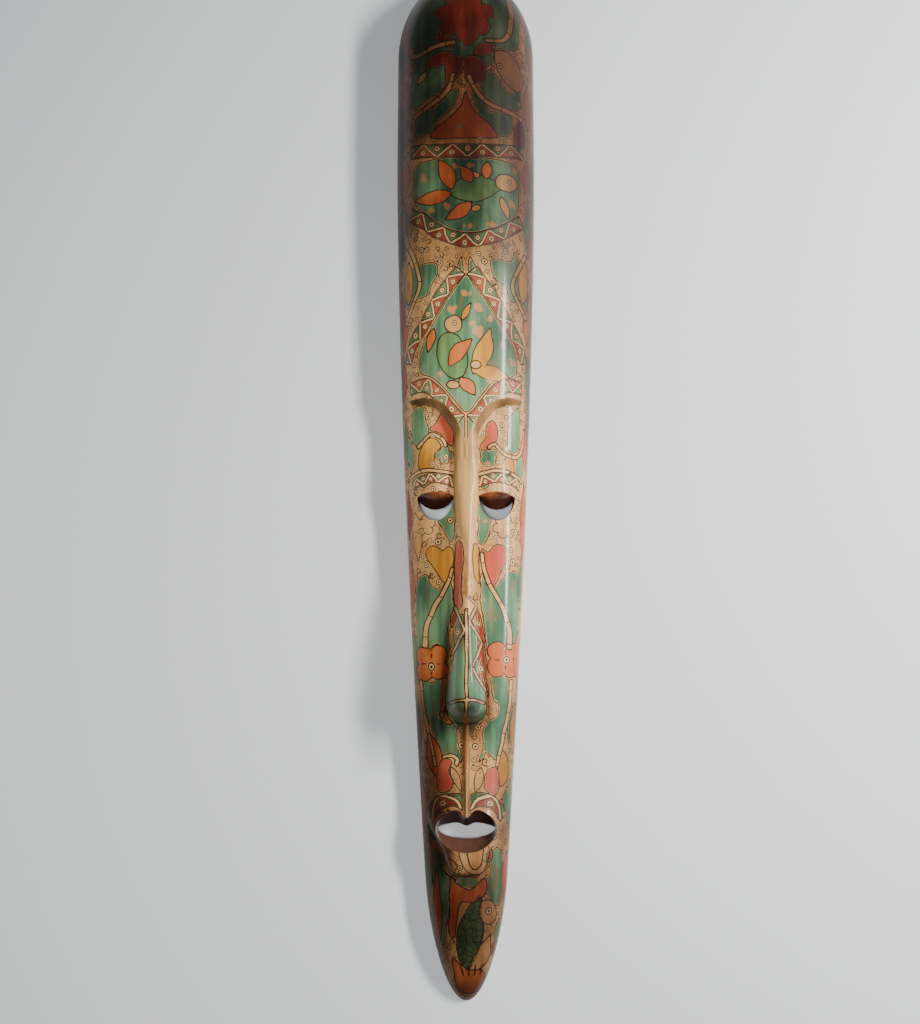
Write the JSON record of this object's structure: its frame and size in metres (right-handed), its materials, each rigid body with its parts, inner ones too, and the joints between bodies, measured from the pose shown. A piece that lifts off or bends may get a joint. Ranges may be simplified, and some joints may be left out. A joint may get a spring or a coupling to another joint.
{
  "type": "wooden wall mask",
  "caption": "Long tapering carved wooden wall mask with a hollow back, arched brows, half-moon eye holes, a long narrow nose and an open mouth.",
  "frame": {"origin": "on the flat back plane, at the middle of the mask's length and width", "axes": "+X across the face to the viewer's right, +Y from the chin to the crown, +Z out of the face; the mask lies on its back rim"},
  "size_m": [0.1376, 1, 0.0685],
  "materials": {
    "painted_wood": "light wood painted with fine outlined patterns in green, ochre, orange and cream, under clear lacquer; bare brown wood in the hollow"
  },
  "bodies": {
    "root": {"mask": "painted_wood"}
  },
  "joints": []
}
